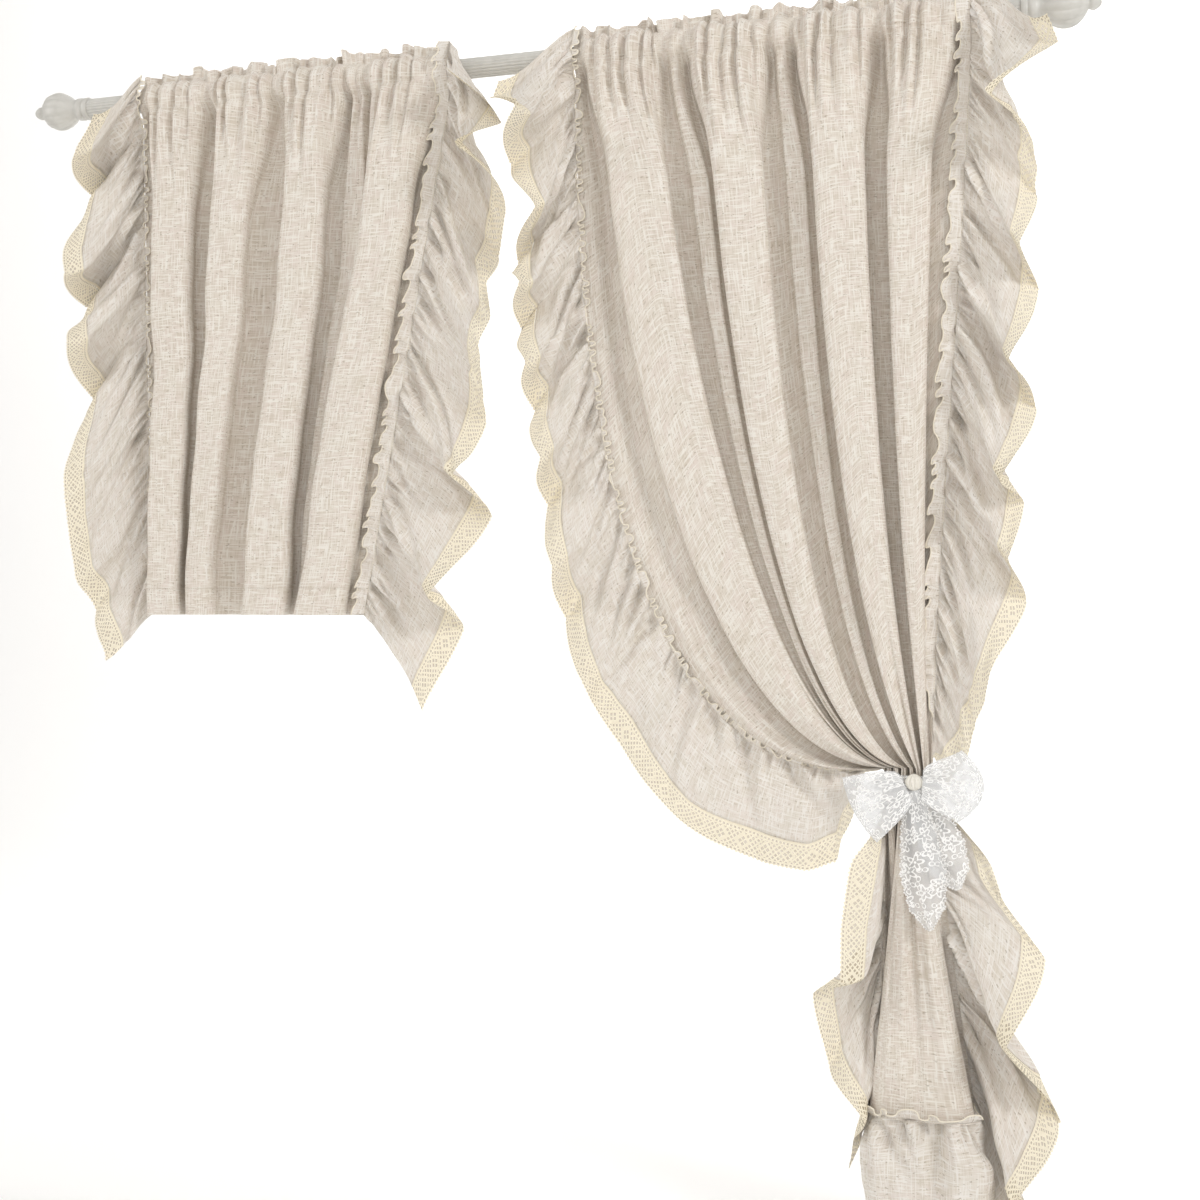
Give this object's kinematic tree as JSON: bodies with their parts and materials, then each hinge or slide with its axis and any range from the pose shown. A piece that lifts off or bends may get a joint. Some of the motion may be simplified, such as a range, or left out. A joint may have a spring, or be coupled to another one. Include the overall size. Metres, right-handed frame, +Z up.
{
  "type": "pair of ruffled curtains on a curtain rod",
  "caption": "Ruffled linen curtains on a shared wooden rod, one short and one long, edged with lace; the long one is swept aside and tied with a lace bow.",
  "frame": {"origin": "on the rod's axis, midway between its ends", "axes": "+X along the rod to the viewer's right, +Y from the room into the wall, +Z up"},
  "size_m": [1.76, 0.2284, 1.8126],
  "materials": {
    "linen": "matt slubbed natural linen weave",
    "lace": "matt cream cotton lace",
    "bow_lace": "sheer white embroidered net",
    "painted_wood": "satin ivory paint on turned wood"
  },
  "bodies": {
    "root": {"short_panel": "linen", "short_ruffle_left": "linen", "short_ruffle_right": "linen", "long_panel": "linen", "long_ruffle_left": "linen", "long_ruffle_right": "linen", "long_ruffle_foot": "linen", "short_lace_left": "lace", "short_lace_right": "lace", "long_lace_left": "lace", "long_lace_right": "lace", "long_lace_foot": "lace", "bow_band": "bow_lace", "bow_knot": "bow_lace", "bow_loop_left": "bow_lace", "bow_loop_right": "bow_lace", "bow_end_left": "bow_lace", "bow_end_right": "bow_lace", "rod": "painted_wood", "finial_left": "painted_wood", "finial_right": "painted_wood"}
  },
  "joints": []
}
